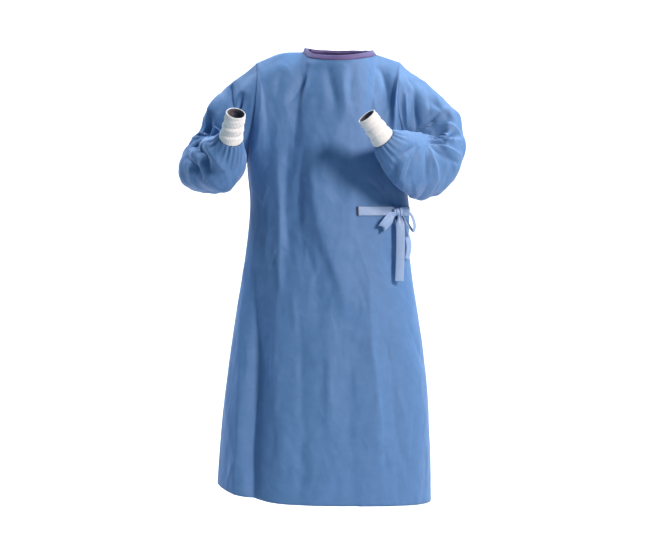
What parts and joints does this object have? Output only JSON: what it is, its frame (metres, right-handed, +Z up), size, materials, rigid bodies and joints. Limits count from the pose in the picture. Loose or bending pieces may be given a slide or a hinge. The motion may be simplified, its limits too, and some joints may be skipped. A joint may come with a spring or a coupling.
{
  "type": "surgical gown",
  "caption": "Long blue surgical gown in worn form: overlapping back, set-in sleeves gathered into white knit cuffs, bound round neck and a tie belt with a bow on the left hip.",
  "frame": {"origin": "between the shoulders at the height of the neck, where the wearer holds the gown up", "axes": "+X to the wearer's left, +Y to the back, +Z up"},
  "size_m": [0.7475, 0.5067, 1.2144],
  "materials": {
    "cloth": "matte blue nonwoven",
    "belt": "matte pale blue nonwoven",
    "binding": "matte purple bias tape",
    "knit": "white rib knit"
  },
  "bodies": {
    "root": {"front": "cloth", "back_left": "cloth", "back_right": "cloth", "sleeve_left": "cloth", "sleeve_right": "cloth", "cuff_left": "knit", "cuff_right": "knit", "neck_binding": "binding", "belt_front": "belt", "belt_back": "belt", "belt_knot": "belt", "bow_loop_front": "belt", "bow_loop_side": "belt", "tie_end_long": "belt", "tie_end_short": "belt"}
  },
  "joints": []
}
